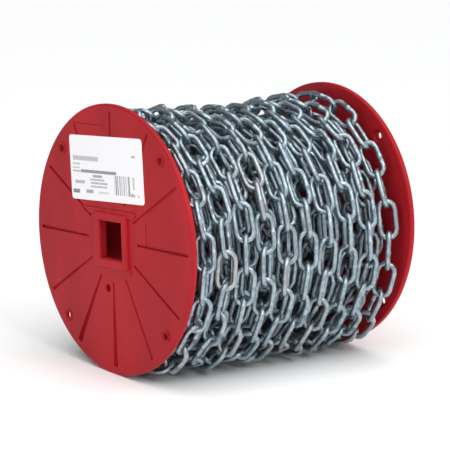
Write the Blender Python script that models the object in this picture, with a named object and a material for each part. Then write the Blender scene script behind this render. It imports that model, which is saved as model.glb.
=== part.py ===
"""Reel of steel chain: a moulded plastic reel wound full of zinc-plated link chain.

The reel's axis lies along X, with the labelled flange at -X. +Z is up, and the origin is on the
floor under the middle of the reel, which rests on the rims of its two flanges. Sizes are in metres.
"""
from math import atan2, cos, pi, radians, sin, tau

import bmesh
import bpy
import numpy as np
from mathutils import Matrix, Vector

# Reel
FLANGE_DIAMETER = 0.218
FLANGE_THICKNESS = 0.0045
FLANGE_SIDES = 56
RIM_ROUNDING = 0.0014
WIDTH_OVER_FLANGES = 0.2228
REEL_TURN = radians(4.5)        # the standing reel has rolled back by this much, seen from the label
BARREL_RADIUS = 0.032
BARREL_WALL = 0.003
BARREL_SIDES = 40
SPIGOT_LENGTH = 0.008
SPIGOT_WALL = 0.0035
FIT_GAP = 0.0003

# Arbor hole and its raised frame
ARBOR_SIZE = 0.0305
FRAME_SIZE = 0.0445
FRAME_HEIGHT = 0.0026
FRAME_EDGE = 0.0009

# Grooves and holes of a flange
GROOVE_COUNT = 12
GROOVE_START = 0.034
GROOVE_END = 0.1025
GROOVE_WIDTH_START = 0.0020
GROOVE_WIDTH_END = 0.0026
WIDE_GROOVES = (6, 7)           # the two beside the bottom, counted from the top
WIDE_GROOVE_WIDTH_END = 0.0060
GROOVE_DEPTH_SHARE = 0.35       # of a groove's width
GROOVE_OFFSET = radians(1.0)    # the groove pattern's own angle on the moulding
RIM_HOLE_COUNT = 4
RIM_HOLE_DIAMETER = 0.0055
RIM_HOLE_CIRCLE = 0.097
RIM_HOLE_ANGLE = radians(45)
LOCK_HOLE_DIAMETER = 0.0065
LOCK_HOLE_CIRCLE = 0.0405
LOCK_HOLE_ANGLE = radians(193)
HOLE_SIDES = 10

# Label
LABEL_SIZE = (0.102, 0.052)
LABEL_THICKNESS = 0.0003
LABEL_CORNER = 0.003
LABEL_CENTRE = (-0.0033, 0.0567)   # across and up on the flange, seen square to the label
LABEL_TURN = radians(1.8)          # the label is stuck on a little askew

# Chain link
WIRE = 0.0043
LINK_PITCH = 0.0257
LINK_WIDTH = 0.0180
WIRE_CORNER = 0.0024            # centreline to the corners of the square that stands for the round wire
CROWN_SHARE = 0.5               # straight part of a link's rounded end, as a share of its half width
SHOULDER_SHARE = 0.67           # length of the slanting part of that end, as the same share
TURN_GAP = 0.0005               # between the last link of a turn and the first link of the next

# Winding
TURNS = 10
ROW_STEP = 0.0205
TURN_START = radians(-145)      # at the back, where each turn steps over to the next row
STEP_OVER = radians(70)
HOLLOW_AT = 0.030               # where the winding lies lowest, off mid-width
RADIUS_AT_HOLLOW = 0.0935
RADIUS_AT_FLANGES = 0.0975
SLACK_AT_HOLLOW = 0.0220
SLACK_AT_FLANGES = 0.0130
SLACK_FOCUS = 3                 # how closely the slack gathers under the reel
LUMP = 0.0008
RIM_MARGIN = 0.0010             # the winding stays this far inside the square around the flanges
MEAN_ROLL = radians(45)         # of a link from lying flat; the next link stands square to it
ROLL_RANGE = radians(28)
SEED = 14

# Core of hidden inner layers
CORE_BANDS = 6
CORE_DEPTH = 0.0108             # from the turns' centreline down to the core's surface

FLANGE_RADIUS = FLANGE_DIAMETER / 2
INNER_HALF = WIDTH_OVER_FLANGES / 2 - FLANGE_THICKNESS
AXIS_HEIGHT = FLANGE_RADIUS * cos(pi / FLANGE_SIDES)
LINK_REACH = (LINK_WIDTH - WIRE) / 2 + WIRE_CORNER
WINDING_LIMIT = AXIS_HEIGHT - LINK_REACH - RIM_MARGIN
FIRST_ROW = -ROW_STEP * (TURNS - 1) / 2


def clear_scene():
    for item in list(bpy.data.objects):
        bpy.data.objects.remove(item, do_unlink=True)


def material(name, colour, roughness, metallic=0.0):
    finish = bpy.data.materials.new(name)
    finish.use_nodes = True
    shader = finish.node_tree.nodes["Principled BSDF"]
    shader.inputs["Base Color"].default_value = (*colour, 1)
    shader.inputs["Roughness"].default_value = roughness
    shader.inputs["Metallic"].default_value = metallic
    return finish


def add_object(name, shape, finish=None, parent=None):
    """Turn a bmesh into a named object with its faces pointing out."""
    bmesh.ops.recalc_face_normals(shape, faces=shape.faces)
    mesh = bpy.data.meshes.new(name)
    shape.to_mesh(mesh)
    shape.free()
    item = bpy.data.objects.new(name, mesh)
    bpy.context.scene.collection.objects.link(item)
    item.parent = parent
    if finish:
        mesh.materials.append(finish)
        mesh.shade_smooth()
        mesh.set_sharp_from_angle(angle=radians(35))
    return item


def combine(item, other, operation):
    """Join another object to this one, or cut it away, with an exact Boolean."""
    other.hide_render = True
    other.display_type = "WIRE"
    modifier = item.modifiers.new(other.name, "BOOLEAN")
    modifier.object = other
    modifier.operation = operation
    modifier.solver = "EXACT"


def ring_points(x, radius, sides):
    """Corners of a ring around the X axis, with a flat side straight down."""
    step = tau / sides
    start = -pi / 2 + step / 2
    return [Vector((x, radius * cos(start + k * step), radius * sin(start + k * step))) for k in range(sides)]


def bridge(shape, ring, following):
    count = len(ring)
    for k in range(count):
        shape.faces.new((ring[k], ring[(k + 1) % count], following[(k + 1) % count], following[k]))


def turned(profile, sides, closed):
    """Turn a profile of (x, radius) points about X: an open one is capped, a closed one has a bore."""
    shape = bmesh.new()
    rings = [[shape.verts.new(point) for point in ring_points(x, radius, sides)] for x, radius in profile]
    for ring, following in zip(rings, rings[1:]):
        bridge(shape, ring, following)
    if closed:
        bridge(shape, rings[-1], rings[0])
    else:
        shape.faces.new(rings[0])
        shape.faces.new(rings[-1])
    return shape


def block(size, centre):
    shape = bmesh.new()
    bmesh.ops.create_cube(shape, size=1)
    bmesh.ops.scale(shape, vec=size, verts=shape.verts)
    bmesh.ops.translate(shape, vec=centre, verts=shape.verts)
    return shape


# The flange is modelled at the left, with its outer face at x = 0 and its inner face towards +X.

def flange_plate():
    edge = FLANGE_THICKNESS - RIM_ROUNDING
    shoulder = FLANGE_RADIUS - RIM_ROUNDING
    profile = [(0, shoulder), (RIM_ROUNDING, FLANGE_RADIUS)]
    profile += [(edge, FLANGE_RADIUS), (FLANGE_THICKNESS, shoulder)]
    return turned(profile, FLANGE_SIDES, closed=False)


def arbor_frame():
    depth = FRAME_HEIGHT + FLANGE_THICKNESS / 2
    shape = block((depth, FRAME_SIZE, FRAME_SIZE), (depth / 2 - FRAME_HEIGHT, 0, 0))
    rim = [edge for edge in shape.edges if all(vert.co.x < 0 for vert in edge.verts)]
    bmesh.ops.bevel(shape, geom=rim, offset=FRAME_EDGE, segments=1, affect="EDGES")
    return shape


def barrel_spigot():
    outer = BARREL_RADIUS - BARREL_WALL - FIT_GAP
    inner = outer - SPIGOT_WALL
    start = FLANGE_THICKNESS / 2
    end = FLANGE_THICKNESS + SPIGOT_LENGTH
    return turned([(start, outer), (end, outer), (end, inner), (start, inner)], BARREL_SIDES, closed=True)


def groove_cutters():
    """Twelve V-shaped bars that widen outwards, one for each radial groove."""
    shape = bmesh.new()
    for k in range(GROOVE_COUNT):
        turn = Matrix.Rotation(GROOVE_OFFSET + k * tau / GROOVE_COUNT, 4, "X")
        outer_width = WIDE_GROOVE_WIDTH_END if k in WIDE_GROOVES else GROOVE_WIDTH_END
        ends = []
        for radius, width in ((GROOVE_START, GROOVE_WIDTH_START), (GROOVE_END, outer_width)):
            depth = GROOVE_DEPTH_SHARE * width
            corners = [(depth, 0), (-depth, -width), (-depth, width)]
            ends.append([shape.verts.new(turn @ Vector((x, y, radius))) for x, y in corners])
        bridge(shape, *ends)
        shape.faces.new(ends[0])
        shape.faces.new(ends[1])
    return shape


def hole_cutters():
    """Round cutters for the four rim holes and for the small locking hole under the frame."""
    shape = bmesh.new()
    places = [(RIM_HOLE_ANGLE + k * tau / RIM_HOLE_COUNT, RIM_HOLE_CIRCLE, RIM_HOLE_DIAMETER)
              for k in range(RIM_HOLE_COUNT)]
    places.append((LOCK_HOLE_ANGLE, LOCK_HOLE_CIRCLE, LOCK_HOLE_DIAMETER))
    for angle, circle, diameter in places:
        centre = Matrix.Rotation(angle, 4, "X") @ Vector((FLANGE_THICKNESS / 2, 0, circle))
        place = Matrix.Translation(centre) @ Matrix.Rotation(pi / 2, 4, "Y")
        bmesh.ops.create_cone(shape, cap_ends=True, segments=HOLE_SIDES, radius1=diameter / 2,
                              radius2=diameter / 2, depth=3 * FLANGE_THICKNESS, matrix=place)
    return shape


def build_flange(name, side, plastic):
    """Build one moulded flange. side is -1 for the left one and +1 for the right one, turned about."""
    flange = add_object(name, flange_plate(), plastic)
    relief = bpy.data.objects.new(f"{name}_relief", None)
    bpy.context.scene.collection.objects.link(relief)
    relief.parent = flange
    relief.rotation_euler.x = side * REEL_TURN
    combine(flange, add_object(f"{name}_frame", arbor_frame(), parent=relief), "UNION")
    combine(flange, add_object(f"{name}_spigot", barrel_spigot(), parent=flange), "UNION")
    depth = 6 * FLANGE_THICKNESS
    arbor = block((depth, ARBOR_SIZE, ARBOR_SIZE), (0, 0, 0))
    combine(flange, add_object(f"{name}_arbor", arbor, parent=relief), "DIFFERENCE")
    combine(flange, add_object(f"{name}_grooves", groove_cutters(), parent=relief), "DIFFERENCE")
    combine(flange, add_object(f"{name}_holes", hole_cutters(), parent=relief), "DIFFERENCE")
    flange.location = (side * WIDTH_OVER_FLANGES / 2, 0, AXIS_HEIGHT)
    flange.rotation_euler.z = 0 if side < 0 else pi


def build_barrel(plastic):
    half = INNER_HALF - FIT_GAP
    bore = BARREL_RADIUS - BARREL_WALL
    profile = [(-half, BARREL_RADIUS), (half, BARREL_RADIUS), (half, bore), (-half, bore)]
    barrel = add_object("barrel", turned(profile, BARREL_SIDES, closed=True), plastic)
    barrel.location.z = AXIS_HEIGHT


def build_label(paper):
    """A sheet with rounded corners, a hair in front of the left flange's face."""
    shape = bmesh.new()
    reach = [size / 2 - LABEL_CORNER for size in LABEL_SIZE]
    outline = []
    for quarter, (across, up) in enumerate(((1, 1), (-1, 1), (-1, -1), (1, -1))):
        for step in (0, 1, 2):
            angle = (quarter + step / 2) * pi / 2
            outline.append((across * reach[0] + LABEL_CORNER * cos(angle),
                            up * reach[1] + LABEL_CORNER * sin(angle)))
    ends = []
    for x in (0, -LABEL_THICKNESS):
        ends.append([shape.verts.new((x, -(LABEL_CENTRE[0] + u), LABEL_CENTRE[1] + v)) for u, v in outline])
    bridge(shape, *ends)
    shape.faces.new(ends[0])
    shape.faces.new(ends[1])
    label = add_object("label", shape, paper)
    label.location = (-WIDTH_OVER_FLANGES / 2 - FIT_GAP, 0, AXIS_HEIGHT)
    label.rotation_euler.x = -REEL_TURN - LABEL_TURN


# The winding. An angle is measured about X from the front (-Y) upwards, and goes on from turn to turn.

PHASES = np.random.default_rng(SEED).uniform(0, tau, 5)


def smooth_step(value):
    value = min(max(value, 0.0), 1.0)
    return value * value * (3 - 2 * value)


def winding_radius(x, angle):
    """Radius of the outermost turns' centreline: hollow near mid-width, slack at the bottom."""
    reach = INNER_HALF + (HOLLOW_AT if x < HOLLOW_AT else -HOLLOW_AT)
    side = ((x - HOLLOW_AT) / reach) ** 2
    tight = RADIUS_AT_HOLLOW + (RADIUS_AT_FLANGES - RADIUS_AT_HOLLOW) * side
    slack = SLACK_AT_HOLLOW + (SLACK_AT_FLANGES - SLACK_AT_HOLLOW) * side
    lumps = LUMP * (sin(3 * angle + 40 * x + PHASES[0]) + sin(5 * angle - 70 * x + PHASES[1]))
    radius = tight + slack * ((1 - sin(angle)) / 2) ** SLACK_FOCUS + lumps
    return min(radius, WINDING_LIMIT / max(abs(cos(angle)), abs(sin(angle))))


def winding_point(travel):
    """Point of the centreline after this much turning since the start of the first turn."""
    turn = min(int(travel / tau), TURNS - 1)
    within = travel - turn * tau
    step = smooth_step((within - tau + STEP_OVER) / STEP_OVER) if turn < TURNS - 1 else 0.0
    x = FIRST_ROW + ROW_STEP * (turn + step)
    angle = TURN_START + travel
    radius = winding_radius(x, angle)
    return Vector((x, -radius * cos(angle), radius * sin(angle)))


def link_joints():
    """Points where each link hooks into the next, one pitch apart, with the travel of each."""
    travel = 0.0
    joints = [(travel, winding_point(travel))]
    while True:
        last = joints[-1][1]
        step = LINK_PITCH / last.yz.length
        for _ in range(4):
            reached = (winding_point(travel + step) - last).length
            step *= LINK_PITCH / reached
        travel += step
        if travel > TURNS * tau - STEP_OVER:
            return joints
        joints.append((travel, winding_point(travel)))


def link_roll(x, angle):
    """Angle of a link from lying flat on the winding, which wanders slowly along the chain."""
    wander = (0.45 * sin(2 * angle + 14 * x + PHASES[2]) + 0.32 * sin(5 * angle - 11 * x + PHASES[3])
              + 0.23 * sin(9 * angle + 17 * x + PHASES[4]))
    return MEAN_ROLL + ROLL_RANGE * wander


def add_link(shape, start, end, roll, hooks):
    """Add one link between two joints: square wire, edge inwards, on an eight-cornered loop.

    hooks are how far the wire's centreline reaches past the start joint and past the end joint.
    """
    along = (end - start).normalized()
    middle = (start + end) / 2
    outward = Vector((0, middle.y, middle.z)).normalized()
    across = along.cross(outward).normalized()
    outward = across.cross(along)
    side = across * cos(roll) + outward * sin(roll)
    normal = along.cross(side)

    half = (LINK_WIDTH - WIRE) / 2
    crown = half * CROWN_SHARE
    shoulder = half * SHOULDER_SHARE
    first = -hooks[0]
    last = (end - start).length + hooks[1]
    loop = [(first, -crown), (first, crown), (first + shoulder, half), (last - shoulder, half),
            (last, crown), (last, -crown), (last - shoulder, -half), (first + shoulder, -half)]
    rings = []
    for k, point in enumerate(loop):
        before = (Vector(point) - Vector(loop[k - 1])).normalized()
        after = (Vector(loop[(k + 1) % len(loop)]) - Vector(point)).normalized()
        mitre = Vector((-before.y - after.y, before.x + after.x)) / (1 + before.dot(after))
        ring = []
        for inward, raised in ((1, 0), (0, 1), (-1, 0), (0, -1)):
            flat = Vector(point) + mitre * inward * WIRE_CORNER
            corner = start + along * flat.x + side * flat.y + normal * raised * WIRE_CORNER
            ring.append(shape.verts.new(corner))
        rings.append(ring)
    for k, ring in enumerate(rings):
        bridge(shape, ring, rings[(k + 1) % len(rings)])


def build_chain(steel):
    """Build the outermost turns, each one solid of links hooked through one another."""
    joints = link_joints()
    hooked = WIRE / 2
    loose = WIRE_CORNER + TURN_GAP / 2
    turns = [[] for _ in range(TURNS)]
    for k in range(len(joints) - 1):
        middle = (joints[k][0] + joints[k + 1][0]) / 2
        turns[min(int(middle / tau), TURNS - 1)].append(k)
    for number, links in enumerate(turns, start=1):
        halves = (bmesh.new(), bmesh.new())
        for k in links:
            (travel, start), (_, end) = joints[k], joints[k + 1]
            roll = link_roll(start.x, TURN_START + travel) + (k % 2) * pi / 2
            hooks = (loose if k == links[0] else hooked, loose if k == links[-1] else hooked)
            add_link(halves[k % 2], start, end, roll, hooks)
        turn = add_object(f"chain_turn_{number:02d}", halves[0], steel)
        other = add_object(f"chain_turn_{number:02d}_alternate_links", halves[1])
        combine(turn, other, "UNION")
        turn.location.z = AXIS_HEIGHT
        other.location.z = AXIS_HEIGHT


def build_core(steel):
    """The inner layers of chain as one plain body around the barrel, just under the outer turns."""
    shape = bmesh.new()
    half = INNER_HALF - FIT_GAP
    rings = []
    for band in range(CORE_BANDS + 1):
        x = half * (2 * band / CORE_BANDS - 1)
        ring = []
        for corner in ring_points(x, 1, BARREL_SIDES):
            radius = winding_radius(x, atan2(corner.z, -corner.y)) - CORE_DEPTH
            ring.append(shape.verts.new((x, corner.y * radius, corner.z * radius)))
        rings.append(ring)
    for x in (half, -half):
        bore = ring_points(x, BARREL_RADIUS + FIT_GAP, BARREL_SIDES)
        rings.append([shape.verts.new(point) for point in bore])
    for k, ring in enumerate(rings):
        bridge(shape, ring, rings[(k + 1) % len(rings)])
    core = add_object("chain_core", shape, steel)
    core.location.z = AXIS_HEIGHT


def main():
    clear_scene()
    plastic = material("red_plastic", (0.42, 0.016, 0.022), 0.38)
    paper = material("label_paper", (0.80, 0.80, 0.78), 0.6)
    zinc = material("zinc_plated_steel", (0.52, 0.56, 0.60), 0.3, 1.0)
    shadowed_zinc = material("inner_chain", (0.20, 0.22, 0.24), 0.5, 1.0)
    build_flange("flange_left", -1, plastic)
    build_flange("flange_right", 1, plastic)
    build_barrel(plastic)
    build_label(paper)
    build_chain(zinc)
    build_core(shadowed_zinc)


main()
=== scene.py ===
"""Looks of a reel of steel chain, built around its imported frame.

The reel's axis lies along X, with the labelled flange at -X. +Z is up and the floor is z = 0. Sizes are
in metres. The chain's path and its joints repeat those of the construction, and each link turns a little
further about its length than it does there.
"""
import logging
from contextlib import contextmanager
from dataclasses import dataclass
from enum import Enum
from math import cos, pi, radians, sin, tau
from typing import Any, Callable, Iterator, Mapping, Optional, Sequence, Union

import bmesh
import bpy
import numpy as np
from mathutils import Euler, Matrix, Quaternion, Vector
from mathutils.kdtree import KDTree


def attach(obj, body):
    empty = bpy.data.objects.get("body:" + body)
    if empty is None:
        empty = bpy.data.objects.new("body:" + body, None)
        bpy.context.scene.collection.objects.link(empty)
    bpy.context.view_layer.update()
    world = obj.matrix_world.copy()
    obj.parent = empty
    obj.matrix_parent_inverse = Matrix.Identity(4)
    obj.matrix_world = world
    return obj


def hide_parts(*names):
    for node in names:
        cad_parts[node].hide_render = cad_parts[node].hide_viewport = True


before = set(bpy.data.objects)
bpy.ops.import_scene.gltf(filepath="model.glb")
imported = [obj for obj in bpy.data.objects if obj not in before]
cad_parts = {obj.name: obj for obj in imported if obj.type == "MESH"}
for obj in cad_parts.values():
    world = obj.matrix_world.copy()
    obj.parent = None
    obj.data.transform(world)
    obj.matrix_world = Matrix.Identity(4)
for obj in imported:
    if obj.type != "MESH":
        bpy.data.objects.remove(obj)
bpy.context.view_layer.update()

BODY = "root"
TONE = "tone"
MM = 0.001

# How near each other points count as one, and how near to a plane as lying in it
MERGE = MM / 100
NEAR = MM / 10

# How much of its normal lies along X in a face that looks that way, and in one that is square to X
FACING = 0.9
FLAT = 0.9999

log = logging.getLogger("chain_reel")

Colour = tuple[float, float, float]
Number = Union[float, "Value"]


class Operation(Enum):
    """How a second solid is worked into a first one."""

    JOIN = "UNION"
    CUT = "DIFFERENCE"


class Kind(Enum):
    """A kind of mesh element to select."""

    POINTS = "VERT"
    EDGES = "EDGE"
    FACES = "FACE"


class Side(Enum):
    """The end of the reel that a flange is on, as the sign of its X."""

    LEFT = -1
    RIGHT = 1


class Slot(Enum):
    """The record's material slots."""

    PLASTIC = "reel_plastic"
    PAPER = "label_paper"
    CHAIN = "zinc_chain"
    INNER_CHAIN = "inner_chain"


# Sizes shared by the sub-assemblies

@dataclass(frozen=True)
class ReelSizes:
    """Main sizes of the reel, as in the construction."""

    flange_radius: float = 0.109
    flange_thickness: float = 0.0045
    flange_facets: int = 56
    width: float = 0.2228
    turn: float = radians(4.5)
    barrel_radius: float = 0.032
    barrel_wall: float = 0.003
    fit_gap: float = 0.0003

    @property
    def axis_height(self) -> float:
        """Height of the reel's axis, and the radius that the construction's flange has at its flats."""
        return self.flange_radius * cos(pi / self.flange_facets)

    @property
    def inner_half(self) -> float:
        """Distance from the middle of the reel to the inner face of a flange."""
        return self.width / 2 - self.flange_thickness

    @property
    def centre(self) -> Vector:
        """The middle of the reel."""
        return Vector((0, 0, self.axis_height))


@dataclass(frozen=True)
class ChainSizes:
    """Sizes of the chain, as in the construction."""

    wire: float = 0.0043
    pitch: float = 0.0257
    width: float = 0.0180
    corner: float = 0.0024

    @property
    def half_width(self) -> float:
        """Distance from a link's middle line to the centreline of its wire."""
        return (self.width - self.wire) / 2

    @property
    def reach(self) -> float:
        """How far a link lying flat reaches to each side in the construction."""
        return self.half_width + self.corner

    @property
    def bends(self) -> tuple[float, float]:
        """X of the middles of a link's two bends, measured from its first joint."""
        start = self.half_width - self.wire / 2
        return start, self.pitch - start

    def wire_line(self) -> list[Vector]:
        """Follow the middle of a link's wire in steps of about half its thickness.

        Returns:
            The points, in the link's own frame.
        """
        start, end = self.bends
        half = self.half_width
        bend_steps, side_steps = 10, 8
        angles = [k * pi / bend_steps for k in range(bend_steps + 1)]
        points = [Vector((end + half * sin(angle), half * cos(angle), 0)) for angle in angles]
        points += [Vector((start - half * sin(angle), half * cos(angle), 0)) for angle in angles]
        for k in range(1, side_steps):
            x = start + (end - start) * k / side_steps
            points += [Vector((x, half, 0)), Vector((x, -half, 0))]
        return points


REEL = ReelSizes()
CHAIN = ChainSizes()


# Modelling as by hand

def choose(item: bpy.types.Object) -> None:
    """Select one object alone and make it the active one.

    Args:
        item: The object.
    """
    bpy.ops.object.select_all(action="DESELECT")
    item.select_set(True)
    bpy.context.view_layer.objects.active = item


def add_object(name: str, data: bpy.types.ID) -> bpy.types.Object:
    """Add an object to the scene.

    Args:
        name: Its name.
        data: The mesh, light or camera that it shows.

    Returns:
        The object.
    """
    item = bpy.data.objects.new(name, data)
    bpy.context.scene.collection.objects.link(item)
    return item


def start_from(primitive: Callable[..., set], stretch: Sequence[float] = (1, 1, 1),
               **settings: Any) -> bpy.types.Object:
    """Add a primitive with all else deselected, and move its place into its mesh.

    Args:
        primitive: The operator that adds it.
        stretch: What it is scaled by along its own axes.
        settings: The operator's settings.

    Returns:
        The new object, at the origin and unturned.
    """
    bpy.ops.object.select_all(action="DESELECT")
    primitive(**settings)
    item = bpy.context.view_layer.objects.active
    item.scale = stretch
    bpy.ops.object.transform_apply(location=True, rotation=True, scale=True)
    return item


def cylinder_along_x(front: float, back: float, radius: float, facets: int,
                     centre: Sequence[float] = (0, 0)) -> bpy.types.Object:
    """Add a cylinder between two places along X, about a centre given by its Y and Z."""
    return start_from(bpy.ops.mesh.primitive_cylinder_add, vertices=facets, radius=radius,
                      depth=back - front, location=((front + back) / 2, *centre), rotation=(0, pi / 2, 0))


def block_along_x(front: float, back: float, width: float, height: float,
                  centre: Sequence[float] = (0, 0)) -> bpy.types.Object:
    """Add a block between two places along X, about a centre given by its Y and Z."""
    return start_from(bpy.ops.mesh.primitive_cube_add, (back - front, width, height), size=1,
                      location=((front + back) / 2, *centre))


@contextmanager
def editing(item: bpy.types.Object) -> Iterator[None]:
    """Edit an object's mesh, by points and with none selected at first, and come back to object mode.

    Args:
        item: The object to edit.

    Yields:
        Nothing, while the object is in edit mode.
    """
    choose(item)
    bpy.ops.object.mode_set(mode="EDIT")
    bpy.ops.mesh.select_mode(type=Kind.POINTS.value)
    bpy.ops.mesh.select_all(action="DESELECT")
    yield
    bpy.ops.object.mode_set(mode="OBJECT")


def pick(item: bpy.types.Object, kind: Kind, test: Callable[[Any], bool]) -> None:
    """Select, in edit mode, just those elements of a mesh that pass a test.

    Args:
        item: The object in edit mode.
        kind: The kind of element.
        test: Says of a bmesh element whether to select it.
    """
    bpy.ops.mesh.select_mode(type=kind.value)
    bpy.ops.mesh.select_all(action="DESELECT")
    shape = bmesh.from_edit_mesh(item.data)
    elements = {Kind.POINTS: shape.verts, Kind.EDGES: shape.edges, Kind.FACES: shape.faces}[kind]
    for element in elements:
        if test(element):
            element.select_set(True)
    shape.select_flush_mode()
    bmesh.update_edit_mesh(item.data)


def runs_along_x(edge: bmesh.types.BMEdge) -> bool:
    """Say whether an edge runs along X."""
    return abs(edge.verts[0].co.x - edge.verts[1].co.x) > NEAR


def at_front(x: float) -> Callable[[bmesh.types.BMEdge], bool]:
    """Return a test for the edges of a front face that lies at this X."""
    return lambda edge: all(vert.co.x < x + NEAR for vert in edge.verts)


def pick_front(item: bpy.types.Object) -> None:
    """Select, in edit mode, just those faces that look towards -X."""
    pick(item, Kind.FACES, lambda face: face.normal.x < -FACING)


def round_edges(item: bpy.types.Object, test: Callable[[Any], bool], width: float, steps: int) -> None:
    """Round, in edit mode, the edges that pass a test."""
    pick(item, Kind.EDGES, test)
    bpy.ops.mesh.bevel(offset=width, segments=steps, affect="EDGES")


def extrude(move: Sequence[float], scale: float = 1.0, centre: Sequence[float] = (0, 0, 0)) -> None:
    """Extrude what is selected in edit mode, then scale the new part.

    Args:
        move: How far it moves.
        scale: What it is then scaled by.
        centre: The point that it is scaled about.
    """
    bpy.ops.mesh.extrude_region_move(TRANSFORM_OT_translate={"value": tuple(move)})
    if scale != 1.0:
        bpy.ops.transform.resize(value=(scale, scale, scale), center_override=tuple(centre))


def apply_modifier(item: bpy.types.Object, kind: str, **settings: Any) -> None:
    """Add a modifier to an object and apply it.

    Args:
        item: The object.
        kind: The modifier's type.
        settings: The modifier's settings.
    """
    choose(item)
    modifier = item.modifiers.new(kind.title(), kind)
    for setting, value in settings.items():
        setattr(modifier, setting, value)
    bpy.ops.object.modifier_apply(modifier=modifier.name)


def combine(item: bpy.types.Object, tool: bpy.types.Object, operation: Operation) -> None:
    """Join a tool to an object or cut it away, and remove the tool."""
    apply_modifier(item, "BOOLEAN", object=tool, operation=operation.value, solver="EXACT")
    bpy.data.meshes.remove(tool.data)


def copy_of(item: bpy.types.Object, move: Matrix) -> bpy.types.Object:
    """Copy an object with a mesh of its own, moved within that mesh.

    Args:
        item: The object to copy.
        move: The move of the copy's points.

    Returns:
        The copy.
    """
    twin = item.copy()
    twin.data = item.data.copy()
    bpy.context.scene.collection.objects.link(twin)
    twin.data.transform(move)
    return twin


def join(items: Sequence[bpy.types.Object]) -> bpy.types.Object:
    """Join several objects into the first.

    Args:
        items: The objects.

    Returns:
        The joined object.
    """
    choose(items[0])
    for item in items:
        item.select_set(True)
    bpy.ops.object.join()
    return items[0]


def shade(item: bpy.types.Object, angle: float = radians(35)) -> None:
    """Shade an object smooth, but for edges sharper than an angle."""
    choose(item)
    bpy.ops.object.shade_smooth_by_angle(angle=angle)


def add_piece(item: bpy.types.Object, name: str, finish: bpy.types.Material,
              stands_for: Sequence[str]) -> bpy.types.Object:
    """Name and dress a finished piece, and let it ride on the reel in place of CAD nodes.

    Args:
        item: The finished object.
        name: Its piece name.
        finish: Its material.
        stands_for: The CAD nodes that it replaces.

    Returns:
        The piece.
    """
    item.name = name
    item.data.name = name
    item.data.materials.clear()
    item.data.materials.append(finish)
    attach(item, BODY)
    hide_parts(*stands_for)
    log.info("%s: %d faces, stands for %s", name, len(item.data.polygons), ", ".join(stands_for))
    return item


# Shader maths

# A Mix node's factor, its two colours and its result, by number because other sockets share their names
MIX_INPUTS = (0, 6, 7)
MIX_OUTPUT = 2


class Value:
    """A shader socket that takes part in Python arithmetic, where each operator adds a Math node."""

    def __init__(self, sketch: "Sketch", socket: bpy.types.NodeSocket) -> None:
        """Wrap a socket of one of the sketch's nodes."""
        self.sketch = sketch
        self.socket = socket

    def _math(self, operation: str, *operands: Number) -> "Value":
        """Add a Math node and return its result."""
        return self.sketch.add("ShaderNodeMath", {"operation": operation}, dict(enumerate(operands)))

    def __add__(self, other: Number) -> "Value":
        """Return the sum."""
        return self._math("ADD", self, other)

    def __sub__(self, other: Number) -> "Value":
        """Return this less the other."""
        return self._math("SUBTRACT", self, other)

    def __rsub__(self, other: Number) -> "Value":
        """Return the other less this."""
        return self._math("SUBTRACT", other, self)

    def __mul__(self, other: Number) -> "Value":
        """Return the product."""
        return self._math("MULTIPLY", self, other)

    def __gt__(self, other: Number) -> "Value":
        """Return 1 where this is more than the other, and 0 elsewhere."""
        return self._math("GREATER_THAN", self, other)

    def __lt__(self, other: Number) -> "Value":
        """Return 1 where this is less than the other, and 0 elsewhere."""
        return self._math("LESS_THAN", self, other)

    def __abs__(self) -> "Value":
        """Return the size without its sign."""
        return self._math("ABSOLUTE", self)

    def largest(self, other: Number) -> "Value":
        """Return the larger of this and the other."""
        return self._math("MAXIMUM", self, other)

    def whole(self) -> "Value":
        """Return the whole number just below."""
        return self._math("FLOOR", self)

    def ramp(self, start: float, end: float) -> "Value":
        """Return a smooth rise from 0 at start to 1 at end."""
        return self.sketch.add("ShaderNodeMapRange", {"interpolation_type": "SMOOTHSTEP"},
                               {"Value": self, "From Min": start, "From Max": end})

    __radd__ = __add__
    __rmul__ = __mul__


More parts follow.
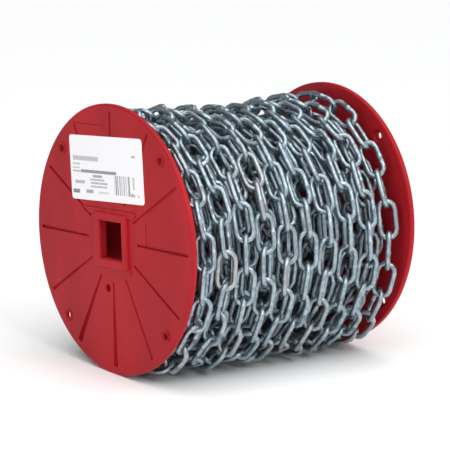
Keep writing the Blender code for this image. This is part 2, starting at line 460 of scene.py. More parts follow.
class Sketch:
    """The node tree of one material, around its Principled shader."""

    def __init__(self, name: str) -> None:
        """Start a material.

        Args:
            name: Its name.
        """
        self.material = bpy.data.materials.new(name)
        self.material.use_nodes = True
        self.tree = self.material.node_tree
        self.shader = self.tree.nodes["Principled BSDF"]

    def feed(self, socket: bpy.types.NodeSocket, value: Any) -> None:
        """Link a wrapped value to a socket, or set the socket to a plain one.

        Args:
            socket: The socket.
            value: The value.
        """
        if isinstance(value, Value):
            self.tree.links.new(value.socket, socket)
        else:
            socket.default_value = value

    def add(self, kind: str, settings: Mapping[str, Any], inputs: Mapping[Union[str, int], Any],
            output: Union[str, int] = 0) -> Value:
        """Add a node of any type.

        Args:
            kind: The node's type.
            settings: Its settings, which are set before its sockets.
            inputs: Values or links for its sockets, by name or number.
            output: The output to return, by name or number.

        Returns:
            The node's output.
        """
        node = self.tree.nodes.new(kind)
        for setting, value in settings.items():
            setattr(node, setting, value)
        for key, value in inputs.items():
            self.feed(node.inputs[key], value)
        return Value(self, node.outputs[output])

    def place(self, centre: Sequence[float] = (0, 0, 0), turn: Sequence[float] = (0, 0, 0),
              stretch: Sequence[float] = (1, 1, 1)) -> Value:
        """Return object coordinates as seen from a centre, turned and stretched.

        Args:
            centre: The point that becomes the origin.
            turn: The turn of the new axes, about X, Y and Z.
            stretch: The scale along each new axis.

        Returns:
            The coordinates.
        """
        coordinates = self.add("ShaderNodeTexCoord", {}, {}, "Object")
        inverse = Euler(turn).to_matrix().inverted()
        start = inverse @ -Vector(centre)
        angles = inverse.to_euler()
        turned = self.add("ShaderNodeMapping", {}, {"Vector": coordinates, "Location": start,
                                                    "Rotation": angles})
        return self.add("ShaderNodeMapping", {}, {"Vector": turned, "Scale": Vector(stretch)})

    def noise(self, place: Value, scale: float, detail: float = 2.0, roughness: float = 0.5) -> Value:
        """Return noise of about 0 to 1, with as many clouds in a metre as its scale says."""
        return self.add("ShaderNodeTexNoise", {}, {"Vector": place, "Scale": scale, "Detail": detail,
                                                   "Roughness": roughness})

    def axes(self, place: Value) -> tuple[Value, Value, Value]:
        """Return the X, Y and Z of a vector."""
        node = self.add("ShaderNodeSeparateXYZ", {}, {"Vector": place}).socket.node
        return tuple(Value(self, output) for output in node.outputs)

    def mix(self, share: Number, first: Any, second: Any) -> Value:
        """Return a colour between two colours.

        Args:
            share: How much of the second colour there is.
            first: The first colour, as three numbers or a link.
            second: The second colour, likewise.

        Returns:
            The mixed colour.
        """
        ends = [end if isinstance(end, Value) else (*end, 1.0) for end in (first, second)]
        inputs = dict(zip(MIX_INPUTS, (share, *ends)))
        return self.add("ShaderNodeMix", {"data_type": "RGBA"}, inputs, MIX_OUTPUT)

    def bump(self, height: Value, distance: float, strength: float = 1.0) -> Value:
        """Return a normal that stands for small heights, given as shares of a distance."""
        return self.add("ShaderNodeBump", {}, {"Height": height, "Distance": distance,
                                               "Strength": strength}, "Normal")

    def finish(self, **sockets: Any) -> bpy.types.Material:
        """Set the shader's sockets and return the material.

        Args:
            sockets: Values or links, by the socket's name in small letters with underscores.

        Returns:
            The material.
        """
        names = {socket.name.lower().replace(" ", "_"): socket for socket in self.shader.inputs}
        for name, value in sockets.items():
            self.feed(names[name], value)
        return self.material


# Finishes

@dataclass(frozen=True)
class MouldedPlastic:
    """Moulded plastic with a low gloss, faint flow marks, a fine grain and light scuffs."""

    name: str
    colour: Colour
    deep: Colour
    roughness: float = 0.36
    gloss: float = 0.1
    grain: float = 0.00004

    def material(self) -> bpy.types.Material:
        """Build the material.

        Returns:
            The material.
        """
        sketch = Sketch(self.name)
        place = sketch.place()
        flow = sketch.noise(sketch.place(stretch=(1, 1, 0.4)), scale=22, detail=3)
        grain = sketch.noise(place, scale=1500)
        waves = sketch.noise(place, scale=60, detail=1)
        strokes = sketch.place(turn=(0.6, 0, 0), stretch=(1, 0.06, 1))
        scuffs = sketch.noise(strokes, scale=700, detail=4, roughness=0.7)
        scuffed = scuffs.ramp(0.60, 0.78) * sketch.noise(place, scale=28).ramp(0.45, 0.7)
        colour = sketch.mix(flow.ramp(0.3, 0.7), self.deep, self.colour)
        rough = self.roughness + 0.10 * (flow - 0.5) + 0.16 * scuffed
        height = 0.5 * grain + 4.0 * waves - 0.4 * scuffed
        return sketch.finish(base_color=colour, roughness=rough, specular_ior_level=self.gloss,
                             normal=sketch.bump(height, self.grain))


@dataclass(frozen=True)
class ZincPlate:
    """Bright zinc plating: bluish metal, cloudy, with the odd warmer link."""

    name: str
    warm: Colour
    bright: Colour = (0.38, 0.46, 0.505)
    dull: Colour = (0.225, 0.28, 0.315)
    warm_from: float = 0.86
    warmth: float = 0.6
    roughness: float = 0.34
    relief: float = 0.00012

    def material(self) -> bpy.types.Material:
        """Build the material, in which the links with the highest tones are the warmer ones.

        Returns:
            The material.
        """
        sketch = Sketch(self.name)
        place = sketch.place()
        tone = sketch.add("ShaderNodeAttribute", {"attribute_name": TONE}, {}, "Fac")
        clouds = sketch.noise(place, scale=260, detail=3, roughness=0.6)
        specks = sketch.noise(place, scale=1400, roughness=0.6)
        metal = sketch.mix(clouds.ramp(0.35, 0.72), self.bright, self.dull)
        tinted = sketch.mix(tone.ramp(self.warm_from, 1.0) * self.warmth, metal, self.warm)
        rough = self.roughness + 0.16 * clouds.ramp(0.3, 0.8) + 0.08 * (specks - 0.5)
        height = 0.6 * specks + clouds
        return sketch.finish(base_color=tinted, metallic=1.0, roughness=rough,
                             normal=sketch.bump(height, self.relief, strength=0.7))


@dataclass(frozen=True)
class Bar:
    """A plain bar on a face: its middle across and up, its width and height in millimetres, and its ink."""

    across: float
    up: float
    width: float
    height: float
    ink: float = 0.7


@dataclass(frozen=True)
class PrintedPaper:
    """White label paper with plain bars and a field of upright stripes, none of them lettering."""

    name: str
    centre: Vector
    turn: float
    bars: Sequence[Bar]
    stripes: Bar
    paper: Colour = (0.90, 0.885, 0.90)
    ink: Colour = (0.03, 0.035, 0.05)
    stripe_pitch: float = 0.42
    bare_share: float = 0.45
    relief: float = 0.00003

    def box(self, across: Value, up: Value, bar: Bar) -> Value:
        """Return the ink of a bar at a place given in millimetres, which is 0 outside the bar."""
        inside = (abs(across - bar.across) < bar.width / 2) * (abs(up - bar.up) < bar.height / 2)
        return bar.ink * inside

    def material(self) -> bpy.types.Material:
        """Build the material.

        Returns:
            The material.
        """
        sketch = Sketch(self.name)
        place = sketch.place(centre=self.centre, turn=(self.turn, 0, 0))
        _, toward, above = sketch.axes(place)
        across = toward * (-1 / MM)
        up = above * (1 / MM)
        ink = self.box(across, up, self.bars[0])
        for bar in self.bars[1:]:
            ink = ink.largest(self.box(across, up, bar))
        column = (across * (1 / self.stripe_pitch)).whole()
        chance = sketch.add("ShaderNodeTexWhiteNoise", {"noise_dimensions": "1D"}, {"W": column})
        ink = ink.largest(self.box(across, up, self.stripes) * (chance > self.bare_share))
        broken = sketch.noise(sketch.place(stretch=(1, 1, 0.35)), scale=1900).ramp(0.30, 0.62)
        fibres = sketch.noise(sketch.place(), scale=900, detail=3)
        colour = sketch.mix(ink * (0.7 + 0.3 * broken), self.paper, self.ink)
        return sketch.finish(base_color=colour, roughness=0.42 + 0.1 * fibres,
                             normal=sketch.bump(fibres, self.relief))


@dataclass(frozen=True)
class StudioFloor:
    """A plain pale floor."""

    colour: Colour = (0.93, 0.93, 0.93)

    def material(self) -> bpy.types.Material:
        """Build the material."""
        return Sketch("studio_floor").finish(base_color=(*self.colour, 1.0), roughness=0.6)


# The chain

@dataclass(frozen=True)
class LinkPattern:
    """One link of round wire, along X from its first joint, with its width along Y."""

    sides: int
    bend_steps: int
    welded: bool
    chain: ChainSizes = CHAIN
    weld_length: float = 0.0024
    weld_edge: float = 0.0004
    weld_growth: float = 1.17
    weld_taper: float = 0.96

    def model(self) -> bpy.types.Object:
        """Model the link by drawing a ring of wire round its loop.

        Returns:
            The link as an object of its own.
        """
        half = self.chain.half_width
        start, end = self.chain.bends
        link = start_from(bpy.ops.mesh.primitive_circle_add, vertices=self.sides,
                          radius=self.chain.wire / 2, location=(start, half, 0), rotation=(0, pi / 2, 0))
        with editing(link):
            bpy.ops.mesh.select_all(action="SELECT")
            self.draw_side(start, end)
            bpy.ops.mesh.spin(steps=self.bend_steps, angle=pi, center=(end, 0, 0), axis=(0, 0, 1))
            extrude((start - end, 0, 0))
            bpy.ops.mesh.spin(steps=self.bend_steps, angle=pi, center=(start, 0, 0), axis=(0, 0, 1))
            bpy.ops.mesh.select_all(action="SELECT")
            bpy.ops.mesh.remove_doubles(threshold=MERGE)
            bpy.ops.mesh.normals_make_consistent(inside=False)
        return link

    def draw_side(self, start: float, end: float) -> None:
        """Extrude the first straight side, with its raised weld where it has one.

        Args:
            start: Where the side starts along X.
            end: Where it ends.
        """
        if not self.welded:
            extrude((end - start, 0, 0))
            return
        middle = (start + end) / 2
        near = middle - self.weld_length / 2
        far = middle + self.weld_length / 2
        stations = [(near - self.weld_edge, 1.0), (near, self.weld_growth),
                    (far, self.weld_growth * self.weld_taper), (far + self.weld_edge, 1.0), (end, 1.0)]
        x, growth = start, 1.0
        for following, scale in stations:
            centre = (following, self.chain.half_width, 0)
            extrude((following - x, 0, 0), scale / growth, centre)
            x, growth = following, scale


@dataclass(frozen=True)
class PlacedLink:
    """A link's place in the winding, the turn that it belongs to and its own tone of finish."""

    turn: int
    place: Matrix
    tone: float


@dataclass(frozen=True)
class Wave:
    """A wave in the winding: its height, its crests in a turn and its drift along the axis."""

    height: float
    crests: int
    drift: float


def swell(waves: Sequence[Wave], phases: Sequence[float], x: float, angle: float) -> float:
    """Return the sum of waves at a place along the axis and an angle round it."""
    return sum(wave.height * sin(wave.crests * angle + wave.drift * x + phase)
               for wave, phase in zip(waves, phases))


@dataclass(frozen=True)
class Winding:
    """One layer of the winding. An angle is measured about X from the front upwards.

    With its fields as they stand it is the outermost layer, joint for joint as in the construction.
    """

    turns: int = 10
    depth: float = 0.0
    slack_share: float = 1.0
    row_step: float = 0.0205
    turn_start: float = radians(-145)
    step_over: float = radians(70)
    hollow_at: float = 0.030
    radius_at_hollow: float = 0.0935
    radius_at_flanges: float = 0.0975
    slack_at_hollow: float = 0.0220
    slack_at_flanges: float = 0.0130
    slack_focus: int = 3
    lump: float = 0.0008
    lump_waves: tuple[Wave, ...] = (Wave(1.0, 3, 40), Wave(1.0, 5, -70))
    rim_margin: float = 0.0010
    mean_roll: float = radians(45)
    roll_range: float = radians(28)
    roll_waves: tuple[Wave, ...] = (Wave(0.45, 2, 14), Wave(0.32, 5, -11), Wave(0.23, 9, 17))
    seed: int = 14
    own_roll: float = radians(7)
    own_roll_limit: float = 2.0
    loose_roll: float = radians(13)
    easing: tuple[float, ...] = tuple(radians(turn) for turn in (0, 8, -8, 16, -16, 24, -24))
    joint_tries: int = 4
    reel: ReelSizes = REEL
    chain: ChainSizes = CHAIN

    @property
    def phases(self) -> tuple[np.ndarray, np.ndarray]:
        """Phases of the layer's waves.

        Returns:
            Those of the lumps, and those of the rolls.
        """
        lumps = len(self.lump_waves)
        phases = np.random.default_rng(self.seed).uniform(0, tau, lumps + len(self.roll_waves))
        return phases[:lumps], phases[lumps:]

    @property
    def first_row(self) -> float:
        """X of the first row: the rows lie evenly about mid-width."""
        return -self.row_step * (self.turns - 1) / 2

    def looseness(self, angle: float) -> float:
        """Return how slack the chain is at an angle, from 0 at the top to 1 at the bottom."""
        return ((1 - sin(angle)) / 2) ** self.slack_focus

    def radius(self, x: float, angle: float) -> float:
        """Return the radius of the chain's centreline.

        Args:
            x: The place along the axis.
            angle: The angle round it.

        Returns:
            The radius: hollow near mid-width, and slack at the bottom.
        """
        reach = self.reel.inner_half + (self.hollow_at if x < self.hollow_at else -self.hollow_at)
        side = ((x - self.hollow_at) / reach) ** 2
        tight = self.radius_at_hollow + (self.radius_at_flanges - self.radius_at_hollow) * side
        slack = self.slack_at_hollow + (self.slack_at_flanges - self.slack_at_hollow) * side
        lumps = self.lump * swell(self.lump_waves, self.phases[0], x, angle)
        sag = self.slack_share * slack * self.looseness(angle)
        limit = self.reel.axis_height - self.chain.reach - self.rim_margin
        return min(tight + sag + lumps, limit / max(abs(cos(angle)), abs(sin(angle)))) - self.depth

    def point(self, travel: float) -> Vector:
        """Return the point of the centreline after some turning since the layer's start.

        Args:
            travel: The turning, in radians.

        Returns:
            The point, as seen from the reel's centre.
        """
        turn = min(int(travel / tau), self.turns - 1)
        share = (travel - turn * tau - tau + self.step_over) / self.step_over
        share = min(max(share, 0.0), 1.0) if turn < self.turns - 1 else 0.0
        eased = share * share * (3 - 2 * share)
        x = self.first_row + self.row_step * (turn + eased)
        angle = self.turn_start + travel
        radius = self.radius(x, angle)
        return Vector((x, -radius * cos(angle), radius * sin(angle)))

    def joints(self) -> list[tuple[float, Vector]]:
        """Find where each link hooks into the next, one pitch apart in a straight line.

        Returns:
            The travel and the point of each joint.
        """
        travel = 0.0
        joints = [(travel, self.point(travel))]
        while True:
            last = joints[-1][1]
            step = self.chain.pitch / last.yz.length
            for _ in range(self.joint_tries):
                step *= self.chain.pitch / (self.point(travel + step) - last).length
            travel += step
            if travel > self.turns * tau - self.step_over:
                return joints
            joints.append((travel, self.point(travel)))

    def roll(self, x: float, angle: float) -> float:
        """Return a link's angle from lying flat, which wanders slowly along the chain."""
        return self.mean_roll + self.roll_range * swell(self.roll_waves, self.phases[1], x, angle)

    def links(self, above: Optional[KDTree] = None) -> list[PlacedLink]:
        """Place every link of the layer, eased to whichever side keeps clearest of the wire above.

        Args:
            above: The wire of the layer over this one, if there is one.

        Returns:
            The links.
        """
        draw = np.random.default_rng(self.seed + 1)
        joints = self.joints()
        placed = []
        for k, ((travel, start), (next_travel, end)) in enumerate(zip(joints, joints[1:])):
            angle = self.turn_start + travel
            spread = self.own_roll + self.loose_roll * self.looseness(angle)
            roll = self.roll(start.x, angle) + (k % 2) * pi / 2
            roll += float(np.clip(draw.normal(0, 1), -self.own_roll_limit, self.own_roll_limit)) * spread
            roll += pi * int(draw.integers(2))
            places = [self.place(start, end, roll + ease) for ease in self.easing]
            place = max(places, key=lambda option: self.clearance(option, above)) if above else places[0]
            turn = min(int((travel + next_travel) / 2 / tau), self.turns - 1)
            placed.append(PlacedLink(turn, place, float(draw.uniform())))
        return placed

    def place(self, start: Vector, end: Vector, roll: float) -> Matrix:
        """Return the place of a link between two joints.

        Args:
            start: The first joint, as seen from the reel's centre.
            end: The second joint.
            roll: The link's angle from lying flat.

        Returns:
            The place.
        """
        along = (end - start).normalized()
        middle = (start + end) / 2
        across = along.cross(Vector((0, middle.y, middle.z)).normalized()).normalized()
        side = across * cos(roll) + across.cross(along) * sin(roll)
        axes = Matrix((along, side, along.cross(side))).transposed().to_4x4()
        return Matrix.Translation(self.reel.centre + start) @ axes

    def clearance(self, place: Matrix, above: KDTree) -> float:
        """Return how far a link's wire keeps from other wire, middle to middle, up to where both touch."""
        nearest = min(above.find(place @ point)[2] for point in self.chain.wire_line())
        return min(nearest, self.chain.wire)

    def wire_tree(self, links: Sequence[PlacedLink]) -> KDTree:
        """Gather points along the wire of placed links, to measure from.

        Args:
            links: The links.

        Returns:
            A tree of the points.
        """
        points = [link.place @ point for link in links for point in self.chain.wire_line()]
        tree = KDTree(len(points))
        for number, point in enumerate(points):
            tree.insert(point, number)
        tree.balance()
        return tree


def joined_links(pattern: bpy.types.Object, links: Sequence[PlacedLink]) -> bpy.types.Object:
    """Copy a link to each of its places, as one mesh that carries each link's tone.

    The sides of an inner link's wire meet at 60 degrees, and are still shaded smooth.

    Args:
        pattern: The link that is copied.
        links: The places.

    Returns:
        The joined links.
    """
    points = np.array([(*vertex.co, 1.0) for vertex in pattern.data.vertices])
    faces = np.array([tuple(polygon.vertices) for polygon in pattern.data.polygons])
    places = np.array([link.place for link in links])
    placed = np.einsum("kij,nj->kni", places, points)[:, :, :3].reshape(-1, 3)
    offsets = np.arange(len(links))[:, None, None] * len(points)
    mesh = bpy.data.meshes.new("links")
    mesh.from_pydata(placed.tolist(), [], (faces[None] + offsets).reshape(-1, faces.shape[1]).tolist())
    tones = np.repeat([link.tone for link in links], len(points)).astype(np.float32)
    mesh.attributes.new(TONE, "FLOAT", "POINT").data.foreach_set("value", tones)
    item = add_object("links", mesh)
    shade(item, angle=radians(70))
    return item


@dataclass
class ChainWinding:
    """All the chain on the reel: the outermost turns one by one, and the layers under them."""

    outermost: Winding = Winding()
    inner: Sequence[Winding] = (
        Winding(turns=9, depth=0.0115, slack_share=0.9, seed=31, own_roll=radians(6)),
        Winding(turns=10, depth=0.0225, row_step=0.0214, slack_share=0.65, seed=47, own_roll=radians(9)),
        Winding(turns=9, depth=0.0335, slack_share=0.4, seed=63, own_roll=radians(9)),
        Winding(turns=10, depth=0.0445, row_step=0.0214, slack_share=0.2, seed=79, own_roll=radians(9)),
        Winding(turns=9, depth=0.0540, slack_share=0.0, seed=95, own_roll=radians(9)),
    )
    outer_link: LinkPattern = LinkPattern(sides=8, bend_steps=6, welded=True)
    inner_link: LinkPattern = LinkPattern(sides=6, bend_steps=4, welded=False)
    plating: ZincPlate = ZincPlate("zinc_plate", warm=(0.47, 0.43, 0.41))
    shadowed: ZincPlate = ZincPlate("inner_zinc_plate", warm=(0.43, 0.42, 0.41))

    def build(self) -> None:
        """Build and dress every layer of chain, from the outermost inwards."""
        plating = self.plating.material()
        pattern = self.outer_link.model()
        links = self.outermost.links()
        for turn in range(self.outermost.turns):
            own = [link for link in links if link.turn == turn]
            number = f"{turn + 1:02d}"
            add_piece(joined_links(pattern, own), f"turn_{number}_links", plating,
                      [f"chain_turn_{number}"])
        bpy.data.meshes.remove(pattern.data)
        shadowed = self.shadowed.material()
        pattern = self.inner_link.model()
        for number, layer in enumerate(self.inner, start=2):
            links = layer.links(layer.wire_tree(links))
            add_piece(joined_links(pattern, links), f"layer_{number}_links", shadowed,
                      ["chain_core"])
        bpy.data.meshes.remove(pattern.data)


# The reel

@dataclass
class Flange:
    """One moulded flange, modelled with its outer face at x = 0, facing -X, and its inner face at +X."""

    name: str
    node: str
    side: Side
    recessed_holes: tuple[int, ...]
    reel: ReelSizes = REEL
    facets: int = 144
    rim_rounding: float = 0.0014
    arbor_size: float = 0.0305
    arbor_edge: float = 0.0009
    frame_size: float = 0.0445
    frame_height: float = 0.0026
    frame_corner: float = 0.0022
    frame_rounding: float = 0.0014
    groove_count: int = 12
    groove_facets: int = 16
    groove_span: tuple[float, float] = (0.034, 0.1025)
    groove_widths: tuple[float, float] = (0.0020, 0.0026)
    wide_grooves: tuple[int, ...] = (6, 7)
    wide_groove_widths: tuple[float, float] = (0.0020, 0.0060)
    groove_depth_share: float = 0.75
    groove_offset: float = radians(1.0)
    rim_hole_count: int = 4
    rim_hole_diameter: float = 0.0055
    rim_hole_circle: float = 0.097
    rim_hole_angle: float = radians(45)
    boss_facets: int = 28
    boss_diameter: float = 0.0105
    boss_lip: float = 0.0012
    boss_height: float = 0.0007
    boss_sink: float = 0.8
    lock_hole_diameter: float = 0.0065
    lock_hole_circle: float = 0.0405
    lock_hole_angle: float = radians(193)
    hole_facets: int = 24
    hole_ease: float = 0.0004
    recess_diameter: float = 0.011
    recess_depth: float = 0.0021
    raised_bars: Sequence[Bar] = (Bar(-3.8, 22.2, 73.0, 5.4), Bar(1.7, -23.5, 47.0, 4.4))
    raised_bar_height: float = 0.0010
    scores: Sequence[Bar] = (Bar(46.9, 8.4, 0.9, 20.0), Bar(-30.1, 91.2, 44.0, 0.9))
    score_depth: float = 0.0005
    bar_roundness: float = 0.45
    bar_ease: float = 0.1
    spigot_facets: int = 64
    spigot_length: float = 0.008
    spigot_wall: float = 0.0035
    edge_rounding: float = 0.00022

    def build(self, finish: bpy.types.Material) -> None:
        """Build the flange, place it and dress it.

        Args:
            finish: The plastic.
        """
        angles = [self.rim_hole_angle + k * tau / self.rim_hole_count for k in range(self.rim_hole_count)]
        height = self.raised_bar_height
        raised = [*(self.bar(bar, height, height) for bar in self.raised_bars), self.arbor_frame(),
                  *(self.boss(angle) for angle in angles), self.spigot()]
        cut = [self.arbor_cutter(), self.groove_cutters(),
               *(self.bar(bar, MM, self.score_depth) for bar in self.scores),
               *(self.hole_cutter(angle, self.rim_hole_circle, self.rim_hole_diameter) for angle in angles),
               *(self.recess_cutter(angles[number]) for number in self.recessed_holes),
               self.hole_cutter(self.lock_hole_angle, self.lock_hole_circle, self.lock_hole_diameter)]
        flange = self.plate()
        for operation, tools in ((Operation.JOIN, raised), (Operation.CUT, cut)):
            for tool in tools:
                combine(flange, tool, operation)
        self.soften(flange)
        half_turn = 0.0 if self.side is Side.LEFT else pi
        place = (Matrix.Translation((self.side.value * self.reel.width / 2, 0, self.reel.axis_height))
                 @ Matrix.Rotation(half_turn, 4, "Z")
                 @ Matrix.Rotation(self.side.value * self.reel.turn, 4, "X"))
        flange.data.transform(place)
        add_piece(flange, self.name, finish, [self.node])

    def around(self, angle: float, radius: float) -> Vector:
        """Return the Y and Z of the point of a face at an angle from the top and a radius."""
        return (Matrix.Rotation(angle, 3, "X") @ Vector((0, 0, radius))).yz

    def plate(self) -> bpy.types.Object:
        """Turn a disc into the plate by rounding both edges of its rim.

        Returns:
            The plate.
        """
        plate = cylinder_along_x(0, self.reel.flange_thickness, self.reel.axis_height, self.facets)
        with editing(plate):
            round_edges(plate, lambda edge: not runs_along_x(edge), self.rim_rounding, steps=4)
        return plate

    def arbor_frame(self) -> bpy.types.Object:
        """Model the raised square frame: a block with round corners and a rounded outer edge.

        Returns:
            The frame.
        """
        front = -self.frame_height
        block = block_along_x(front, self.reel.flange_thickness / 2, self.frame_size, self.frame_size)
        with editing(block):
            round_edges(block, runs_along_x, self.frame_corner, steps=4)
            round_edges(block, at_front(front), self.frame_rounding, steps=3)
        return block

    def bar(self, bar: Bar, proud: float, sunk: float) -> bpy.types.Object:
        """Model a bar with round ends across the outer face, to join to it or to cut into it.

        Args:
            bar: Its place on the face and its size, in millimetres.
            proud: How far it stands out of the face.
            sunk: How far it reaches into the face.

        Returns:
            The bar.
        """
        block = block_along_x(-proud, sunk, bar.width * MM, bar.height * MM, (-bar.across * MM, bar.up * MM))
        narrow = min(bar.width, bar.height) * MM
        with editing(block):
            round_edges(block, runs_along_x, self.bar_roundness * narrow, steps=5)
            round_edges(block, at_front(-proud), self.bar_ease * narrow, steps=2)
        return block

    def boss(self, angle: float) -> bpy.types.Object:
        """Model the low ring round a rim hole: a disc with its middle set back from its lip.

        Args:
            angle: The hole's angle.

        Returns:
            The boss.
        """
        disc = cylinder_along_x(-self.boss_height, self.reel.flange_thickness / 2, self.boss_diameter / 2,
                                self.boss_facets, self.around(angle, self.rim_hole_circle))
        with editing(disc):
            pick_front(disc)
            bpy.ops.mesh.inset(thickness=self.boss_lip)
            bpy.ops.mesh.inset(thickness=self.boss_height / 2)
            bpy.ops.transform.translate(value=(self.boss_height * self.boss_sink, 0, 0))
        return disc

    def spigot(self) -> bpy.types.Object:
        """Model the ring that sits inside the barrel: a disc inset and sunk to leave its wall.

        Returns:
            The ring.
        """
        outer = self.reel.barrel_radius - self.reel.barrel_wall - self.reel.fit_gap
        thickness = self.reel.flange_thickness
        ring = cylinder_along_x(thickness / 2, thickness + self.spigot_length, outer, self.spigot_facets)
        with editing(ring):
            pick(ring, Kind.FACES, lambda face: face.normal.x > FACING)
            bpy.ops.mesh.inset(thickness=self.spigot_wall)
            extrude((-self.spigot_length, 0, 0))
        return ring

    def arbor_cutter(self) -> bpy.types.Object:
        """Model the cutter of the square hole, which flares at the mouth to ease its edge.

        Returns:
            The cutter.
        """
        mouth = -self.frame_height
        start = mouth + self.arbor_edge
        block = block_along_x(start, self.reel.flange_thickness + 2 * self.spigot_length, self.arbor_size,
                              self.arbor_size)
        with editing(block):
            pick_front(block)
            flare = 1 + 2 * self.arbor_edge / self.arbor_size
            extrude((mouth - start, 0, 0), flare, (mouth, 0, 0))
            extrude((mouth, 0, 0))
        return block

    def groove_cutters(self) -> bpy.types.Object:
        """Copy the cutters of a thin and a wide groove round the face, each to its own places.

        Returns:
            The cutters, joined.
        """
        thin = self.groove_cutter(self.groove_widths)
        wide = self.groove_cutter(self.wide_groove_widths)
        copies = [copy_of(wide if k in self.wide_grooves else thin,
                          Matrix.Rotation(self.groove_offset + k * tau / self.groove_count, 4, "X"))
                  for k in range(self.groove_count)]
        for cutter in (thin, wide):
            bpy.data.meshes.remove(cutter.data)
        return join(copies)

    def groove_cutter(self, widths: tuple[float, float]) -> bpy.types.Object:
        """Model one tapered, rounded cutter for a radial groove.

        Args:
            widths: The groove's widths at its inner and its outer end.

        Returns:
            The cutter.
        """
        start, end = self.groove_span
        near, far = widths
        cutter = start_from(bpy.ops.mesh.primitive_cone_add, vertices=self.groove_facets, radius1=near / 2,
                            radius2=far / 2, depth=end - start, location=(0, 0, (start + end) / 2))
        with editing(cutter):
            bpy.ops.mesh.select_all(action="SELECT")
            flat = 2 * self.groove_depth_share
            bpy.ops.transform.resize(value=(flat, 1, 1), center_override=(0, 0, 0))
        return cutter

    def hole_cutter(self, angle: float, circle: float, diameter: float) -> bpy.types.Object:
        """Model the cutter of a round hole through the plate, eased at its outer mouth.

        Args:
            angle: The hole's angle.
            circle: Its radius from the axis.
            diameter: Its diameter.

        Returns:
            The cutter.
        """
        thickness = self.reel.flange_thickness
        centre = self.around(angle, circle)
        ease = self.hole_ease
        cutter = cylinder_along_x(ease, ease + 2 * thickness, diameter / 2, self.hole_facets, centre)
        with editing(cutter):
            pick_front(cutter)
            extrude((-ease, 0, 0), 1 + 2 * ease / diameter, (0, *centre))
            extrude((-thickness, 0, 0))
        return cutter

    def recess_cutter(self, angle: float) -> bpy.types.Object:
        """Model the cutter of the round recess behind a rim hole, which widens towards the inner face.

        Args:
            angle: The hole's angle.

        Returns:
            The cutter.
        """
        thickness = self.reel.flange_thickness
        start = thickness - self.recess_depth
        cutter = cylinder_along_x(start, thickness + self.recess_depth, self.recess_diameter / 2,
                                  self.boss_facets, self.around(angle, self.rim_hole_circle))
        with editing(cutter):
            round_edges(cutter, at_front(start), self.recess_depth / 3, steps=3)
        return cutter

    def soften(self, flange: bpy.types.Object) -> None:
        """Round what sharp edges are left by a hair, and keep the flat faces shaded flat.

        Args:
            flange: The flange.
        """
        apply_modifier(flange, "BEVEL", width=self.edge_rounding, segments=2, limit_method="ANGLE",
                       angle_limit=radians(38))
        shade(flange, angle=radians(40))
        with editing(flange):
            pick(flange, Kind.FACES, lambda face: abs(face.normal.x) > FLAT)
            bpy.ops.mesh.faces_shade_flat()


@dataclass
class Label:
    """The paper label on the left flange."""

    size: tuple[float, float] = (0.102, 0.052)
    thickness: float = 0.0002
    lift: float = 0.00004
    corner: float = 0.003
    centre: tuple[float, float] = (-0.0033, 0.0567)
    askew: float = radians(1.8)
    reel: ReelSizes = REEL

    def build(self) -> None:
        """Model the sheet from a plane, stick it on the face and print it."""
        across, up = self.centre
        sheet = start_from(bpy.ops.mesh.primitive_plane_add, (self.size[1], self.size[0], 1), size=1,
                           location=(-self.lift, -across, up), rotation=(0, -pi / 2, 0))
        with editing(sheet):
            bpy.ops.mesh.select_all(action="SELECT")
            bpy.ops.mesh.bevel(offset=self.corner, segments=6, affect="VERTICES")
            bpy.ops.mesh.select_all(action="SELECT")
            extrude((-self.thickness, 0, 0))
            bpy.ops.mesh.select_all(action="SELECT")
            bpy.ops.mesh.normals_make_consistent(inside=False)
        turn = -self.reel.turn - self.askew
        place = Matrix.Translation((-self.reel.width / 2, 0, self.reel.axis_height))
        place = place @ Matrix.Rotation(turn, 4, "X")
        sheet.data.transform(place)
        shade(sheet)
        middle = place @ Vector((0, -across, up))
        add_piece(sheet, "label_sheet", self.print_on(middle, turn), ["label"])

    def print_on(self, middle: Vector, turn: float) -> bpy.types.Material:
        """Return the printed paper: plain bars where such a label has its lines.

        Args:
            middle: The label's middle.
            turn: Its turn about X.

        Returns:
            The material.
        """
        bars = (Bar(-29.0, 7.4, 36.0, 3.6, 0.50), Bar(-42.5, 2.6, 11.0, 1.6, 0.42),
                Bar(-43.0, -0.4, 10.0, 1.4, 0.42), Bar(-42.0, -3.2, 12.0, 1.6, 0.50),
                Bar(-11.0, -2.9, 50.0, 2.5, 0.80), Bar(-13.0, -6.4, 13.0, 2.0, 0.70),
                Bar(-13.5, -9.3, 20.0, 1.6, 0.55), Bar(-11.0, -12.0, 24.0, 1.6, 0.58),
                Bar(-11.5, -14.8, 23.0, 1.6, 0.55), Bar(-38.5, -11.8, 14.0, 2.6, 0.55),
                Bar(-44.0, -19.4, 9.5, 3.2, 0.85), Bar(-25.0, -19.0, 10.0, 2.8, 0.68),
                Bar(-5.0, -19.2, 15.0, 1.6, 0.34), Bar(38.2, 11.4, 4.5, 1.8, 0.65),
                Bar(37.3, -9.8, 3.0, 10.0, 0.40), Bar(35.5, -19.2, 6.0, 2.4, 0.60),
                Bar(43.5, -19.4, 2.0, 2.4, 0.50))
        return PrintedPaper("label_paper", middle, turn, bars, Bar(21.0, -12.3, 22.0, 15.5, 0.85)).material()


@dataclass
class Barrel:
    """The barrel between the flanges, whose construction node is shown with a better finish."""

    node: str = "barrel"

    def dress(self, finish: bpy.types.Material) -> None:
        """Give the node the reel's plastic.

        Args:
            finish: The plastic.
        """
        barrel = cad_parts[self.node]
        barrel.data.materials.clear()
        barrel.data.materials.append(finish)
        log.info("%s: the construction's node, dressed", self.node)


# The studio

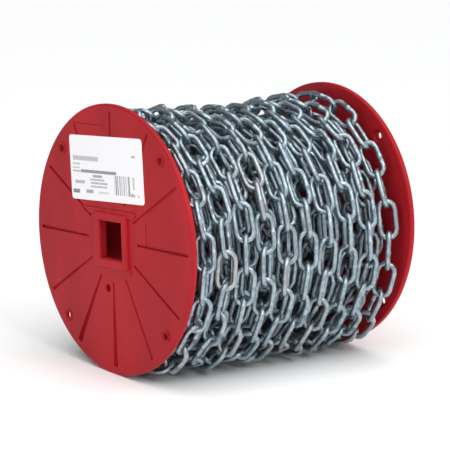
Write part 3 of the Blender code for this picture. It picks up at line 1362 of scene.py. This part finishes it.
@dataclass(frozen=True)
class Softbox:
    """A soft rectangular light that faces the reel."""

    name: str
    place: tuple[float, float, float]
    size: tuple[float, float]
    watts: float

    def build(self, target: Vector) -> None:
        """Hang the light and aim it.

        Args:
            target: The point that it faces.
        """
        light = bpy.data.lights.new(self.name, "AREA")
        light.shape = "RECTANGLE"
        light.size, light.size_y = self.size
        light.energy = self.watts
        lamp = add_object(self.name, light)
        lamp.location = self.place
        lamp.rotation_euler = (target - lamp.location).to_track_quat("-Z", "Y").to_euler()


@dataclass(frozen=True)
class Diffuser:
    """A wide soft light from above, which falls evenly on the whole floor."""

    name: str
    strength: float
    spread: float
    lean: tuple[float, float]

    def build(self) -> None:
        """Hang the light, leaning as told about X and Y."""
        light = bpy.data.lights.new(self.name, "SUN")
        light.energy = self.strength
        light.angle = self.spread
        add_object(self.name, light).rotation_euler = (*self.lean, 0)


@dataclass
class Studio:
    """The pale floor, the soft light, and the camera where the photograph was taken from."""

    azimuth: float = radians(-36.912)
    elevation: float = radians(11.843)
    camera_roll: float = radians(0.955)
    distance: float = 2.18
    lens: float = 213.0
    floor_radius: float = 6.0
    floor_facets: int = 96
    ambient: Colour = (0.26, 0.265, 0.27)
    softboxes: Sequence[Softbox] = (
        Softbox("key_softbox", place=(-0.12, -1.08, 0.75), size=(0.5, 0.5), watts=4.4),
        Softbox("left_softbox", place=(-0.62, -0.36, 0.36), size=(0.3, 0.3), watts=1.05),
        Softbox("right_strip", place=(1.5, -1.3, 0.7), size=(0.35, 1.5), watts=6),
    )
    diffuser: Diffuser = Diffuser("overhead_diffuser", strength=2.75, spread=radians(80),
                                  lean=(radians(12), radians(-2)))
    reel: ReelSizes = REEL

    def build(self) -> None:
        """Set the camera, the lights and the floor."""
        self.set_camera()
        self.diffuser.build()
        for softbox in self.softboxes:
            softbox.build(self.reel.centre)
        world = bpy.data.worlds.new("studio")
        world.use_nodes = True
        world.node_tree.nodes["Background"].inputs["Color"].default_value = (*self.ambient, 1.0)
        bpy.context.scene.world = world
        bpy.context.scene.view_settings.view_transform = "Standard"
        floor = start_from(bpy.ops.mesh.primitive_circle_add, vertices=self.floor_facets,
                           radius=self.floor_radius, fill_type="NGON")
        floor.name = "floor"
        floor.data.materials.append(StudioFloor().material())

    def set_camera(self) -> None:
        """Set the camera at the photograph's viewing angle, with a longer lens."""
        back = Vector((sin(self.azimuth) * cos(self.elevation), -cos(self.azimuth) * cos(self.elevation),
                       sin(self.elevation)))
        data = bpy.data.cameras.new("camera")
        data.lens = self.lens
        camera = add_object("camera", data)
        camera.location = self.reel.centre + back * self.distance
        level = (-back).to_track_quat("-Z", "Y")
        camera.rotation_mode = "QUATERNION"
        camera.rotation_quaternion = level @ Quaternion((0, 0, 1), self.camera_roll)
        bpy.context.scene.camera = camera


def main() -> None:
    """Build the reel of chain and the studio around it."""
    logging.basicConfig(level=logging.INFO, format="%(message)s")
    Studio().build()
    red = MouldedPlastic("red_plastic", colour=(0.41, 0.014, 0.021), deep=(0.33, 0.010, 0.015))
    plastic = red.material()
    Flange("left_flange", "flange_left", Side.LEFT, recessed_holes=(2,)).build(plastic)
    Flange("right_flange", "flange_right", Side.RIGHT, recessed_holes=(2, 3)).build(plastic)
    Barrel().dress(plastic)
    Label().build()
    ChainWinding().build()


if __name__ == "__main__":
    main()
